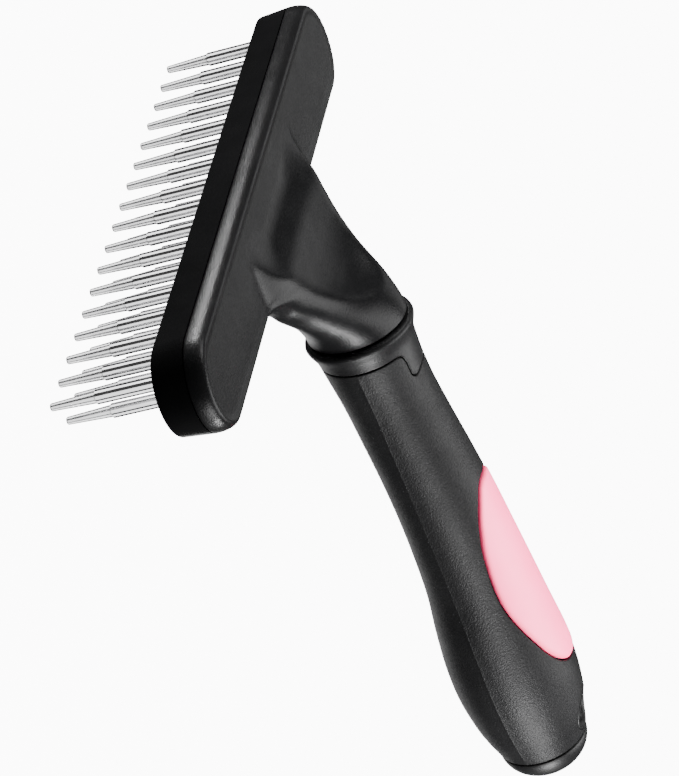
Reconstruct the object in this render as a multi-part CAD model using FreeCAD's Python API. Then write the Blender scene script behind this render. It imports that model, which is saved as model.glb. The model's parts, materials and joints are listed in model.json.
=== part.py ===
import FreeCAD, Part
import math
import os

# Undercoat rake: a long head with two staggered rows of free-spinning steel teeth,
# on a curved round handle that leaves the head at right angles to the teeth.
# Millimetres. While it is modelled, the head's parting plane is z = 0, X runs along
# the head, the teeth point down (-Z) and the handle leaves towards -Y. At the end
# everything moves to the frame: the middle of the object's box, on its lowest plane.

os.makedirs("parts", exist_ok=True)
V = FreeCAD.Vector

# ---- driving dimensions -------------------------------------------------------------
HEAD_LENGTH = 139.7
HEAD_WIDTH = 20.2
HOUSING_HEIGHT = 6.85
HOUSING_DRAFT = 0.55
HOUSING_FLOOR = 2.6
HEAD_WALL = 1.8
RIM_RADIUS = 0.8

COVER_EDGE = 0.6
COVER_CREST = 4.05
COVER_TOP = 3.8
COVER_SKIN = 1.3
CREST_INSET = 1.7
PLATEAU_INSET = 2.6
LIP_DEPTH = 1.4
LIP_WALL = 1.0

TOOTH_PITCH = 7.74
ROW_SPACING = 6.0
FRONT_TEETH = 17
REAR_TEETH = 16
TOOTH_REACH = 22.7
SHANK_REACH = 13.25
SHANK_RADIUS = 1.45
STEP_ROUND = 0.45
TIP_END_RADIUS = 0.55
FLANGE_RADIUS = 2.1
FLANGE_HEIGHT = 0.9
STUB_RADIUS = 0.8
STUB_LENGTH = 1.3
RUNNING_GAP = 0.05
AXIAL_PLAY = 0.1

PLATE_HEIGHT = 1.8
PLATE_GAP = 0.15

BOSS_RADIUS = 2.1
SCREW_HEAD_RADIUS = 1.9
SCREW_HEAD_HEIGHT = 1.2
SCREW_SHANK_RADIUS = 0.85
SCREW_ROW_OFFSET = 5.1
FRONT_SCREW_PITCHES = 4.5
REAR_SCREW_PITCHES = 7.0

NECK_END = 30.4
GROOVE_WIDTH = 1.0
COLLAR_START = NECK_END + GROOVE_WIDTH
COLLAR_END = 36.8
TAB_END = 43.0
TAB_HALF_WIDTH = 5.6
HANDLE_Z = 10.0
PILOT_RADIUS = 8.2
PILOT_END = 33.4

SPIGOT_END = 58.0
SPIGOT_WIDTH = 10.5
SPIGOT_HEIGHT = 7.5
SPIGOT_Z = 10.3
SPIGOT_GAP = 0.1
SPIGOT_SCREW_Y = 49.0
HANDLE_SCREW_HEAD_RADIUS = 2.5
HANDLE_SCREW_HEAD_HEIGHT = 1.6
SCREW_HEAD_INSET = 0.6
HANDLE_SCREW_SHANK_RADIUS = 1.25

GRIP_WALL = 1.9
CORE_WALL = 2.0
CORE_HOLLOW_START = 66.0
CORE_HOLLOW_END = 136.0
CORE_SPLIT_Z = 11.4
CORE_POST_RADIUS = 3.2
CORE_SCREW_YS = (82.0, 122.0)
GRIP_END = 140.8
CAP_Z = 11.5
CAP_END = 148.0
CAP_WALL = 4.2

INLAY_START = 71.2
INLAY_END = 120.6
INLAY_WIDEST = 99.0
INLAY_HALF_WIDTH = 10.0
INLAY_PROUD = 0.35
INLAY_GAP = 0.08
INLAY_FLOOR_Z = 14.0

HANG_Y = 135.4
HANG_RADIUS = 2.8
HANG_RING_RADIUS = 4.7
HANG_PROUD = 0.3

# Handle stations: distance behind the head's middle, height of the centre, radius.
HANDLE = [
    (36.8, 10.00, 10.30),
    (42.0, 10.15, 9.90),
    (47.0, 10.45, 9.68),
    (57.0, 11.15, 9.80),
    (67.0, 11.90, 10.08),
    (77.0, 12.40, 10.44),
    (87.0, 12.56, 10.88),
    (97.0, 12.50, 11.50),
    (107.0, 12.00, 12.50),
    (117.0, 11.75, 13.30),
    (123.0, 11.70, 13.35),
    (129.0, 11.65, 12.75),
    (134.0, 11.60, 11.85),
    (140.8, 11.50, 9.75),
]

# Neck stations: distance, half width, height of the widest line, reach below it,
# reach above it, squareness of the outline.
NECK = [
    (1.5, 22.0, 3.0, 1.0, 0.9, 3.5),
    (4.5, 24.0, 3.0, 1.4, 5.2, 2.6),
    (9.0, 24.6, 3.0, 2.0, 8.0, 2.3),
    (14.0, 20.6, 3.3, 2.5, 8.4, 2.3),
    (19.0, 16.0, 5.0, 4.8, 8.4, 2.2),
    (24.5, 12.9, 7.7, 7.9, 8.6, 2.1),
    (30.4, 10.6, 10.0, 10.6, 10.6, 2.0),
]

# Scoop in the neck's top: distance, height of its lowest line, radius across.
SCOOP = [
    (5.0, 7.6, 22.0),
    (9.0, 9.7, 20.0),
    (14.0, 10.9, 18.0),
    (19.0, 12.7, 15.0),
    (24.5, 15.9, 13.0),
    (30.0, 20.6, 11.0),
]

half_width = HEAD_WIDTH / 2
end_centre = HEAD_LENGTH / 2 - half_width
floor_top = -HOUSING_HEIGHT + HOUSING_FLOOR
flange_bottom = floor_top + AXIAL_PLAY / 2
flange_top = flange_bottom + FLANGE_HEIGHT
plate_bottom = flange_top + AXIAL_PLAY / 2
plate_top = plate_bottom + PLATE_HEIGHT
cavity_half = half_width - HEAD_WALL
tip_z = -HOUSING_HEIGHT - TOOTH_REACH
FRAME_SHIFT = V(0, (CAP_END - half_width) / 2, -tip_z)


# ---- helpers ------------------------------------------------------------------------
def export(shape, name):
    """Move a finished piece into the object's frame and write it."""
    moved = shape.copy()
    moved.translate(FRAME_SHIFT)
    moved.exportStep("parts/" + name + ".step")


def disc(x, y, low, high, radius):
    """A round bar along Z."""
    return Part.makeCylinder(radius, high - low, V(x, y, low))


def block(x_size, y_low, y_high, z_low, z_high):
    """A block centred on x = 0; y is given as distance behind the head's middle."""
    corner = V(-x_size / 2, -y_high, z_low)
    return Part.makeBox(x_size, y_high - y_low, z_high - z_low, corner)


def stadium(half, low, high):
    """A straight-sided prism of the head's outline, with the given half width."""
    body = Part.makeBox(2 * end_centre, 2 * half, high - low, V(-end_centre, -half, low))
    ends = [disc(side * end_centre, 0, low, high, half) for side in (-1, 1)]
    return body.multiFuse(ends).removeSplitter()


def swept_outline(edges):
    """Carry a half section, drawn in the y-z plane from y = 0, round the head's outline."""
    section = Part.Face(Part.Wire(edges))
    right = section.copy()
    right.translate(V(-end_centre, 0, 0))
    left = section.mirror(V(0, 0, 0), V(0, 1, 0))
    left.translate(V(-end_centre, 0, 0))
    run = V(2 * end_centre, 0, 0)
    turned = section.copy()
    turned.translate(V(end_centre, 0, 0))
    far_end = turned.revolve(V(end_centre, 0, 0), V(0, 0, 1), -180)
    near_end = right.revolve(V(-end_centre, 0, 0), V(0, 0, 1), 180)
    return right.extrude(run).multiFuse([left.extrude(run), far_end, near_end]).removeSplitter()


def line(a, b):
    return Part.LineSegment(V(0, *a), V(0, *b)).toShape()


def arc(a, middle, b):
    return Part.Arc(V(0, *a), V(0, *middle), V(0, *b)).toShape()


def arc_middle(centre, radius, degrees):
    angle = math.radians(degrees)
    return (centre[0] + radius * math.cos(angle), centre[1] + radius * math.sin(angle))


def circle_wire(distance, height, radius):
    ring = Part.Circle(V(0, -distance, height), V(0, -1, 0), radius)
    return Part.Wire(ring.toShape())


def handle_loft(grow):
    """The handle's round body, with every radius changed by grow."""
    wires = [circle_wire(d, z, r + grow) for d, z, r in HANDLE]
    return Part.makeLoft(wires, True, False)


def screw_seat(distance):
    """Where a handle screw's head starts: just inside the underside of the core."""
    for (d0, z0, r0), (d1, z1, r1) in zip(HANDLE, HANDLE[1:]):
        if d0 <= distance <= d1:
            share = (distance - d0) / (d1 - d0)
            return z0 - r0 + share * (z1 - r1 - z0 + r0) + GRIP_WALL + SCREW_HEAD_INSET
    raise ValueError("no handle here")


def tooth_places():
    """Every tooth's name and its place in plan; the rows are half a pitch apart."""
    rows = (("front", FRONT_TEETH, ROW_SPACING / 2), ("rear", REAR_TEETH, -ROW_SPACING / 2))
    for row, count, y in rows:
        for index in range(count):
            x = (index - (count - 1) / 2) * TOOTH_PITCH
            yield "tooth_%s_%02d" % (row, index + 1), x, y


def cover_screw_places():
    front = [(side * FRONT_SCREW_PITCHES * TOOTH_PITCH, SCREW_ROW_OFFSET) for side in (-1, 1)]
    rear = [(side * REAR_SCREW_PITCHES * TOOTH_PITCH, -SCREW_ROW_OFFSET) for side in (-1, 0, 1)]
    return front + rear


def screw(low, length, head_height, head_radius, shank_radius):
    """A pan-head self-tapping screw pointing up, with a cross recess; low is its head's face."""
    head = disc(0, 0, low, low + head_height, head_radius)
    head = head.makeFillet(0.35, [head.Edges[2]])
    shank = disc(0, 0, low + head_height, low + head_height + length - 1.0, shank_radius)
    point = Part.makeCone(shank_radius, 0.15, 1.0, V(0, 0, low + head_height + length - 1.0))
    body = head.multiFuse([shank, point])
    recess = head_radius * 1.1
    for size_x, size_y in ((recess, 0.5), (0.5, recess)):
        slot = Part.makeBox(size_x, size_y, 0.7, V(-size_x / 2, -size_y / 2, low))
        body = body.cut(slot)
    return body.removeSplitter()


# ---- head ---------------------------------------------------------------------------
def make_tooth_housing():
    """The lower shell: a drafted wall, a thick floor with one bore per tooth, a plate ledge."""
    rim = half_width - HOUSING_DRAFT
    corner = (rim - RIM_RADIUS, -HOUSING_HEIGHT + RIM_RADIUS)
    edges = [
        line((0, 0), (half_width, 0)),
        line((half_width, 0), (rim, corner[1])),
        arc((rim, corner[1]), arc_middle(corner, RIM_RADIUS, -45), (corner[0], -HOUSING_HEIGHT)),
        line((corner[0], -HOUSING_HEIGHT), (0, -HOUSING_HEIGHT)),
        line((0, -HOUSING_HEIGHT), (0, 0)),
    ]
    shell = swept_outline(edges)
    shell = shell.cut(stadium(cavity_half - 1.0, floor_top, plate_bottom))
    shell = shell.cut(stadium(cavity_half, plate_bottom, 1.0))
    bores = []
    for _, x, y in tooth_places():
        bores.append(disc(x, y, -HOUSING_HEIGHT - 1, floor_top + 1, SHANK_RADIUS + RUNNING_GAP))
    for x, y in cover_screw_places():
        bores.append(disc(x, y, -HOUSING_HEIGHT - 1, floor_top + 1, SCREW_SHANK_RADIUS + 0.3))
        seat = -HOUSING_HEIGHT + SCREW_HEAD_HEIGHT + 0.1
        bores.append(disc(x, y, -HOUSING_HEIGHT - 1, seat, SCREW_HEAD_RADIUS + 0.2))
    return shell.cut(Part.makeCompound(bores)).removeSplitter()


def make_retainer_plate():
    """Holds the tooth flanges down; each tooth's stub turns in a blind hole in it."""
    plate = stadium(cavity_half - PLATE_GAP, plate_bottom, plate_top)
    holes = []
    for _, x, y in tooth_places():
        top = plate_bottom + STUB_LENGTH + 0.15
        holes.append(disc(x, y, plate_bottom - 1, top, STUB_RADIUS + RUNNING_GAP))
    for x, y in cover_screw_places():
        holes.append(disc(x, y, plate_bottom - 1, plate_top + 1, BOSS_RADIUS + 0.2))
    return plate.cut(Part.makeCompound(holes)).removeSplitter()


def make_tooth():
    """One stepped steel tooth about z, at x = y = 0."""
    bottom = -HOUSING_HEIGHT
    step = bottom - SHANK_REACH
    nose = tip_z + TIP_END_RADIUS

    def at(radius, z):
        return V(radius, 0, z)

    shoulder = at(SHANK_RADIUS - STEP_ROUND * 0.3, step + STEP_ROUND * 0.3)
    nose_side = TIP_END_RADIUS * math.sin(math.pi / 4)
    nose_middle = at(nose_side, nose - nose_side)
    stub_top = flange_top + STUB_LENGTH
    corners = [
        at(0, stub_top),
        at(STUB_RADIUS, stub_top),
        at(STUB_RADIUS, flange_top),
        at(FLANGE_RADIUS, flange_top),
        at(FLANGE_RADIUS, flange_bottom),
        at(SHANK_RADIUS, flange_bottom),
        at(SHANK_RADIUS, step + STEP_ROUND),
    ]
    edges = [Part.LineSegment(a, b).toShape() for a, b in zip(corners, corners[1:])]
    edges.append(Part.Arc(corners[-1], shoulder, at(SHANK_RADIUS - STEP_ROUND, step)).toShape())
    edges.append(Part.LineSegment(at(SHANK_RADIUS - STEP_ROUND, step), at(TIP_END_RADIUS, nose)).toShape())
    edges.append(Part.Arc(at(TIP_END_RADIUS, nose), nose_middle, at(0, tip_z)).toShape())
    edges.append(Part.LineSegment(at(0, tip_z), at(0, stub_top)).toShape())
    return Part.Face(Part.Wire(edges)).revolve(V(0, 0, 0), V(0, 0, 1), 360)


def neck_wire(distance, half, middle, below, above, power):
    """A closed outline across the neck: an ellipse that grows squarer with power."""
    count = 32
    points = []
    for index in range(count):
        angle = 2 * math.pi * index / count
        c = math.cos(angle)
        s = math.sin(angle)
        reach = above if s > 0 else below
        x = half * math.copysign(abs(c) ** (2 / power), c)
        z = middle + reach * math.copysign(abs(s) ** (2 / power), s)
        points.append(V(x, -distance, z))
    curve = Part.BSplineCurve()
    curve.interpolate(Points=points, PeriodicFlag=True)
    return Part.Wire(curve.toShape())


def make_head_cover():
    """The top shell, moulded in one with the neck and the spigot that the handle sits on."""
    crest = (half_width - CREST_INSET, COVER_CREST)
    plateau = (half_width - PLATEAU_INSET, COVER_TOP)
    rise = COVER_CREST - COVER_EDGE
    radius = (rise ** 2 + CREST_INSET ** 2) / (2 * CREST_INSET)
    degrees = math.degrees(math.asin(rise / radius)) / 2
    shoulder = arc_middle((half_width - radius, COVER_EDGE), radius, degrees)
    edges = [
        line((0, 0), (half_width, 0)),
        line((half_width, 0), (half_width, COVER_EDGE)),
        arc((half_width, COVER_EDGE), shoulder, crest),
        line(crest, plateau),
        line(plateau, (0, COVER_TOP)),
        line((0, COVER_TOP), (0, 0)),
    ]
    shell = swept_outline(edges)
    lip_half = cavity_half - PLATE_GAP
    shell = shell.fuse(stadium(lip_half, -LIP_DEPTH, 0))
    ceiling = COVER_TOP - COVER_SKIN
    room = stadium(lip_half - LIP_WALL, -LIP_DEPTH - 1, ceiling)
    neck = Part.makeLoft([neck_wire(*station) for station in NECK], True, False)
    scoop = Part.makeLoft([circle_wire(d, low + r, r) for d, low, r in SCOOP], True, False)
    neck = neck.cut(scoop)
    shell = shell.fuse(neck).cut(room)
    pilot = Part.makeCylinder(PILOT_RADIUS, PILOT_END - NECK_END + 1,
                              V(0, 1 - NECK_END, HANDLE_Z), V(0, -1, 0))
    spigot_low = SPIGOT_Z - SPIGOT_HEIGHT / 2
    spigot_high = spigot_low + SPIGOT_HEIGHT
    spigot = block(SPIGOT_WIDTH, PILOT_END - 1, SPIGOT_END, spigot_low, spigot_high)
    bosses = [disc(x, y, floor_top, ceiling + 0.3, BOSS_RADIUS) for x, y in cover_screw_places()]
    shell = shell.multiFuse([pilot, spigot] + bosses)
    for x, y in cover_screw_places():
        shell = shell.cut(disc(x, y, floor_top - 1, 0.2, SCREW_SHANK_RADIUS + 0.05))
    thread_top = spigot_low + 6.0
    thread = disc(0, -SPIGOT_SCREW_Y, spigot_low - 1, thread_top, HANDLE_SCREW_SHANK_RADIUS + 0.05)
    return shell.cut(thread).removeSplitter()


def make_cover_screws():
    low = -HOUSING_HEIGHT + 0.1
    one = screw(low, 5.2, SCREW_HEAD_HEIGHT, SCREW_HEAD_RADIUS, SCREW_SHANK_RADIUS)
    placed = []
    for x, y in cover_screw_places():
        copy = one.copy()
        copy.translate(V(x, y, 0))
        placed.append(copy)
    return Part.makeCompound(placed)


# ---- handle -------------------------------------------------------------------------
def tab_prism(grow):
    """The collar's locating tab in plan, seen from above, with its sides moved out by grow."""
    half = TAB_HALF_WIDTH + grow
    end = TAB_END + grow
    points = [
        V(-half - 1.0, -COLLAR_END + 0.5, 0),
        V(-half - 0.3, -COLLAR_END - 1.2, 0),
        V(-half, -end + 1.5, 0),
        V(-half + 1.5, -end, 0),
        V(half - 1.5, -end, 0),
        V(half, -end + 1.5, 0),
        V(half + 0.3, -COLLAR_END - 1.2, 0),
        V(half + 1.0, -COLLAR_END + 0.5, 0),
    ]
    face = Part.Face(Part.makePolygon(points + points[:1]))
    face.translate(V(0, 0, HANDLE_Z + 3))
    return face.extrude(V(0, 0, 20))


def make_collar_ring(outer, inner):
    """Hard ring between neck and grip, with a bead at its front and a tab on top."""
    front = COLLAR_START
    profile = [
        V(0, -front, HANDLE_Z + PILOT_RADIUS + 0.1),
        V(0, -front, HANDLE_Z + 10.7),
        V(0, -front - 0.3, HANDLE_Z + 11.05),
        V(0, -front - 1.0, HANDLE_Z + 11.2),
        V(0, -front - 1.9, HANDLE_Z + 10.95),
        V(0, -COLLAR_END, HANDLE_Z + 10.25),
        V(0, -COLLAR_END, HANDLE_Z + PILOT_RADIUS + 0.1),
    ]
    face = Part.Face(Part.makePolygon(profile + profile[:1]))
    ring = face.revolve(V(0, 0, HANDLE_Z), V(0, 1, 0), 360)
    tab = outer.cut(inner).common(tab_prism(0))
    return ring.fuse(tab).removeSplitter()


def inlay_outline(inset):
    """The inlay's egg-shaped outline in plan: two half ellipses that meet at its widest."""
    points = []
    count = 40
    for index in range(count):
        angle = 2 * math.pi * index / count
        c = math.cos(angle)
        reach = (INLAY_WIDEST - INLAY_START if c > 0 else INLAY_END - INLAY_WIDEST) - inset
        x = (INLAY_HALF_WIDTH - inset) * math.sin(angle)
        points.append(V(x, -INLAY_WIDEST + reach * c, INLAY_FLOOR_Z))
    curve = Part.BSplineCurve()
    curve.interpolate(Points=points, PeriodicFlag=True)
    return Part.Face(Part.Wire(curve.toShape())).extrude(V(0, 0, 20))


def hang_bar(radius):
    return disc(0, -HANG_Y, -20, 40, radius)


def make_core(core, hollow):
    """The stiff core inside the grip, as an upper and a lower half."""
    nose = Part.makeCylinder(PILOT_RADIUS, COLLAR_END - PILOT_END - 0.1,
                             V(0, -COLLAR_END, HANDLE_Z), V(0, 1, 0))
    room = hollow.common(block(40, CORE_HOLLOW_START, CORE_HOLLOW_END, -20, 40))
    body = core.fuse(nose).cut(room)
    for distance in CORE_SCREW_YS:
        body = body.fuse(disc(0, -distance, 0, 30, CORE_POST_RADIUS).common(core))
    socket_low = SPIGOT_Z - SPIGOT_HEIGHT / 2 - SPIGOT_GAP
    socket_high = SPIGOT_Z + SPIGOT_HEIGHT / 2 + SPIGOT_GAP
    body = body.cut(block(SPIGOT_WIDTH + 2 * SPIGOT_GAP, PILOT_END - 1, SPIGOT_END + 0.5,
                          socket_low, socket_high))
    body = body.cut(hang_bar(HANG_RING_RADIUS + 0.05))
    for distance in CORE_SCREW_YS + (SPIGOT_SCREW_Y,):
        seat = screw_seat(distance) + HANDLE_SCREW_HEAD_HEIGHT + 0.05
        body = body.cut(disc(0, -distance, -20, seat, HANDLE_SCREW_HEAD_RADIUS + 0.2))
        top = socket_low + 1 if distance == SPIGOT_SCREW_Y else CORE_SPLIT_Z
        body = body.cut(disc(0, -distance, seat - 1, top, HANDLE_SCREW_SHANK_RADIUS + 0.3))
    for distance in CORE_SCREW_YS:
        body = body.cut(disc(0, -distance, CORE_SPLIT_Z - 1, CORE_SPLIT_Z + 7,
                             HANDLE_SCREW_SHANK_RADIUS + 0.05))
    for side in (-1, 1):
        body = body.cut(prong(side, 0.1))
    upper = body.common(Part.makeBox(60, 140, 40, V(-30, -160, CORE_SPLIT_Z)))
    lower = body.common(Part.makeBox(60, 140, 40, V(-30, -160, CORE_SPLIT_Z - 40)))
    return upper, lower


def prong(side, grow):
    """One of the end cap's two snap prongs, which go into slots in the core."""
    x = side * 6.6
    corner = V(x - 0.6 - grow, -GRIP_END - 0.5, CAP_Z - 2.5 - grow)
    return Part.makeBox(1.2 + 2 * grow, 3.5 + grow, 5 + 2 * grow, corner)


def make_end_cap():
    """Hard domed cap over the handle's end: a quarter ellipse turned about the handle."""
    radius = HANDLE[-1][2]
    reach = CAP_END - GRIP_END
    count = 9
    outer = []
    inner = []
    for index in range(count):
        angle = math.pi / 2 * index / (count - 1)
        outer.append(V(0, -GRIP_END - reach * math.sin(angle), CAP_Z + radius * math.cos(angle)))
        inner.append(V(0, -GRIP_END - (reach - CAP_WALL) * math.sin(angle),
                       CAP_Z + (radius - CAP_WALL) * math.cos(angle)))
    curves = []
    for points in (outer, inner):
        curve = Part.BSplineCurve()
        curve.interpolate(Points=points)
        curves.append(curve.toShape())
    sides = [
        Part.LineSegment(inner[0], outer[0]).toShape(),
        Part.LineSegment(outer[-1], inner[-1]).toShape(),
    ]
    wire = Part.Wire(Part.__sortEdges__([curves[0], sides[1], curves[1], sides[0]]))
    cap = Part.Face(wire).revolve(V(0, 0, CAP_Z), V(0, 1, 0), 360)
    for side in (-1, 1):
        cap = cap.fuse(prong(side, 0))
    return cap.removeSplitter()


def make_handle_screws(places):
    placed = []
    for distance, tip in places:
        low = screw_seat(distance)
        length = tip - low - HANDLE_SCREW_HEAD_HEIGHT
        one = screw(low, length, HANDLE_SCREW_HEAD_HEIGHT, HANDLE_SCREW_HEAD_RADIUS,
                    HANDLE_SCREW_SHANK_RADIUS)
        one.translate(V(0, -distance, 0))
        placed.append(one)
    return Part.makeCompound(placed) if len(placed) > 1 else placed[0]


outer_body = handle_loft(0)
core_body = handle_loft(-GRIP_WALL)
hollow_body = handle_loft(-GRIP_WALL - CORE_WALL)
proud_body = handle_loft(INLAY_PROUD)

window = inlay_outline(0)
grip = outer_body.cut(core_body).cut(window).cut(hang_bar(HANG_RING_RADIUS + 0.05))
grip = grip.cut(tab_prism(0.08))
inlay = proud_body.cut(core_body).common(inlay_outline(INLAY_GAP))
core_upper, core_lower = make_core(core_body, hollow_body)
tube = hang_bar(HANG_RING_RADIUS).cut(hang_bar(HANG_RADIUS))
hang_sleeve = tube.common(handle_loft(HANG_PROUD))

export(make_tooth_housing(), "tooth_housing")
export(make_retainer_plate(), "retainer_plate")
export(make_head_cover(), "head_cover")
export(make_cover_screws(), "cover_screws")
tooth = make_tooth()
for name, x, y in tooth_places():
    copy = tooth.copy()
    copy.translate(V(x, y, 0))
    export(copy, name)
export(make_collar_ring(outer_body, core_body), "collar_ring")
export(grip, "grip_sleeve")
export(inlay, "thumb_inlay")
export(core_upper, "handle_core_upper")
export(core_lower, "handle_core_lower")
export(make_handle_screws([(d, CORE_SPLIT_Z + 6) for d in CORE_SCREW_YS]), "core_screws")
export(make_handle_screws([(SPIGOT_SCREW_Y, SPIGOT_Z + 1.5)]), "spigot_screw")
export(make_end_cap(), "end_cap")
export(hang_sleeve, "hang_sleeve")
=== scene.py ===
import json
import math

import bpy
import numpy as np
from mathutils import Matrix, Vector
from mathutils.geometry import delaunay_2d_cdt
from mathutils.kdtree import KDTree

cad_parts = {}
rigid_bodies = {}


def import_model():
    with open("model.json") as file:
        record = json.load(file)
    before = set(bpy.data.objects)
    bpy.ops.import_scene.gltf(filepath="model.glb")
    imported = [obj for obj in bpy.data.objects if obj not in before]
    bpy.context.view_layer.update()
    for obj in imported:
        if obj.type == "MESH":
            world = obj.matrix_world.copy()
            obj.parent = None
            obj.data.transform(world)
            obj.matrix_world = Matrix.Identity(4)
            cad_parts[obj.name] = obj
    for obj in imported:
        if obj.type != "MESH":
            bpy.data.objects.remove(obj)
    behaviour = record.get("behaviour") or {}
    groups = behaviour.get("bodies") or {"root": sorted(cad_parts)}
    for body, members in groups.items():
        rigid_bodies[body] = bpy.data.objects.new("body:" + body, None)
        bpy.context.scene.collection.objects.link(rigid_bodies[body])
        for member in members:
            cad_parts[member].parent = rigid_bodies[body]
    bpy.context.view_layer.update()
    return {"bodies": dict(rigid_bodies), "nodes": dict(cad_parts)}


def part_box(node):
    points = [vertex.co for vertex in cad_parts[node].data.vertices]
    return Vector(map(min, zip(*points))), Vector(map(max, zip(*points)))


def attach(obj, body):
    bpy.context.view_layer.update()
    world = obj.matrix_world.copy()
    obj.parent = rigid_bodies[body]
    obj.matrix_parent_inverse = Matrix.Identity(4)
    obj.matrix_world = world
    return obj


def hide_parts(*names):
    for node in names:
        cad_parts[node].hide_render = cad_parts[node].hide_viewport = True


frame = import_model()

# Undercoat rake. Shapes are worked out in millimetres about the head's middle, on the
# parting plane between cover and housing: X along the head, teeth down, handle towards -Y.
# "Distance" is measured along the handle, so a point at distance d has y = -d.

MM = 0.001
housing_low, housing_high = [Vector(corner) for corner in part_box("tooth_housing")]
HEAD = Vector((0, (housing_low.y + housing_high.y) / 2, housing_high.z))
HALF_LENGTH = (housing_high.x - housing_low.x) / 2 / MM
HALF_WIDTH = (housing_high.y - housing_low.y) / 2 / MM
TIP_Z = -HEAD.z / MM

# ---- driving dimensions, mm ---------------------------------------------------------
# Head cover: the lip closes the parting gap, the crest is the rounded rim round the plateau.
PARTING_GAP = 0.22
PARTING_ROLL = 0.12
LIP_INSET = 1.95
SHOULDER_START = 0.55
CREST_Z = 4.05
CREST_INSET = 1.35
PLATEAU_Z = 3.78
PLATEAU_INSET = 2.9
# Cell size of the net the cover is made from, and how far it reaches past the cover.
COVER_CELL = 0.45
COVER_MARGIN = 1.1

# Neck: distance, half width, height of the widest line, reach below, reach above, squareness.
NECK = [
    (0.0, 21.6, 3.0, 2.0, 6.3, 2.4),
    (4.5, 22.3, 3.0, 2.0, 7.4, 2.4),
    (10.0, 22.0, 2.8, 2.0, 8.5, 2.35),
    (14.5, 19.7, 3.0, 2.4, 10.2, 2.3),
    (19.0, 16.5, 4.4, 4.2, 11.3, 2.2),
    (24.5, 13.3, 7.3, 7.7, 11.5, 2.1),
    (30.4, 10.6, 10.0, 10.6, 10.6, 2.0),
    (35.0, 10.6, 10.0, 10.6, 10.6, 2.0),
]
# The underside is squarer near the head, fading out between two distances.
UNDERSIDE_SQUARENESS = 2.2
UNDERSIDE_FADE = (12, 21)
# Dished top of the neck: distance, height of its middle line, how fast it rises sideways.
DISH = [
    (0.0, 7.1, 0.0010),
    (5.5, 7.6, 0.0012),
    (10.0, 8.8, 0.0015),
    (13.6, 10.0, 0.0027),
    (17.0, 11.7, 0.006),
    (19.0, 13.0, 0.011),
    (20.5, 14.4, 0.017),
    (22.0, 16.6, 0.024),
    (23.5, 19.8, 0.027),
    (25.5, 25.0, 0.027),
    (35.0, 55.0, 0.027),
]
DISH_EDGE = 1.0
# The riser is the sloping face where the neck comes up out of the cover.
RISER_DISTANCE = 1.3
RISER_TILT = 48.6
RISER_EDGE = 0.9
RISER_BOW = 7.0
RISER_BOW_HALF = 30.0
RISER_BOW_CAP = 1.2
# How far the neck can reach forwards and sideways, and where only head or only neck is left.
NECK_FRONT_Y = 4
NECK_SIDE_X = 36
HEAD_REAR_Y = -12
NECK_REAR_Y = -20
NECK_END = 30.95
NECK_END_Z = 10.0
NECK_ROLL = 0.25
NECK_WALL = 1.7
# The neck grows out of the cover through a fillet that widens into a flare at the sides.
SEAT_FILLET = 0.4
ROOT_FILLET = 1.2
ROOT_FLARE = 3.4
ROOT_FLARE_ACROSS = (10, 22)
ROOT_FLARE_HEIGHT = (0.1, 1.9)

# Handle: distance, height of its middle line, radius.
HANDLE = [
    (30.0, 10.00, 10.60),
    (36.8, 10.00, 10.30),
    (42.0, 10.15, 9.90),
    (47.0, 10.45, 9.68),
    (57.0, 11.15, 9.80),
    (67.0, 11.90, 10.08),
    (77.0, 12.40, 10.44),
    (87.0, 12.56, 10.88),
    (97.0, 12.50, 11.50),
    (107.0, 12.00, 12.50),
    (117.0, 11.75, 13.30),
    (123.0, 11.70, 13.35),
    (129.0, 11.65, 12.75),
    (134.0, 11.60, 11.85),
    (140.8, 11.50, 9.75),
]
COLLAR_START = 31.4
COLLAR_END = 36.8
COLLAR_BEAD = 1.1
BEAD_MIDDLE = COLLAR_START + 0.7
BEAD_FRONT = 0.8
BEAD_BACK = 2.2
CAP_SEAM = 140.8
CAP_END = 148.0
CAP_Z = 11.5
CAP_RADIUS = 9.75
CAP_FACE = 0.1
CAP_SQUARENESS = 0.82
SEAM_GAP = 0.2
EDGE_ROLL = 0.3
MOULD_LINE_Z = 9.2
MOULD_RIDGE = 0.07
MOULD_RIDGE_WIDTH = 0.15
# Half outline of the collar's tab, seen from above: across, distance.
TAB = [(0, 42.5), (2.5, 42.8), (3.9, 43.25), (4.75, 43.2), (5.25, 42.5), (5.42, 41.2),
       (5.55, 39.7), (5.85, 38.2), (6.4, 37.2), (7.2, 36.88), (8.6, 36.8)]
# Half outline of the thumb inlay, seen from above: across, distance.
INLAY = [(0, 72.2), (2.4, 72.35), (3.8, 73.1), (5.0, 74.6), (6.4, 77.0), (8.4, 83.3),
         (9.4, 90.0), (9.9, 96.0), (10.0, 101.0), (9.5, 106.0), (8.6, 110.6), (7.3, 114.9),
         (5.3, 118.2), (2.9, 120.0), (0, 120.6)]
INLAY_PROUD = 0.35
INLAY_ROLL = 0.75
# The grip's opening is the inlay's outline, grown by the seam gap this far from its middle.
INLAY_REACH = 11
HANG_DISTANCE = 135.4
HANG_RADIUS = 2.8
HANG_RING_RADIUS = 4.7
HANG_RING_GAP = 0.1
HANG_MOUTH = 0.85
HANG_RING_PROUD = 0.06
HANG_RING_SUNK = 0.05
HANG_SEGMENTS = 72

# Sheets on the handle: how thick they are, and how closely their points lie.
SHEET_DEPTH = 1.3
EDGE_SPACING = 0.5
GRIP_SPACING = 1.2
COLLAR_SPACING = 0.8
INLAY_SPACING = 1.0
# Where rows of points run beside a rolled edge and on both sides of a crease.
EDGE_ROWS = [0.02, 0.06, 0.13, 0.22, 0.34]
INLAY_ROWS = [0.02, 0.07, 0.16, 0.3, 0.5, 0.75]
CREASE_ROWS = (-0.3, -0.12, 0, 0.12, 0.3)

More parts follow.
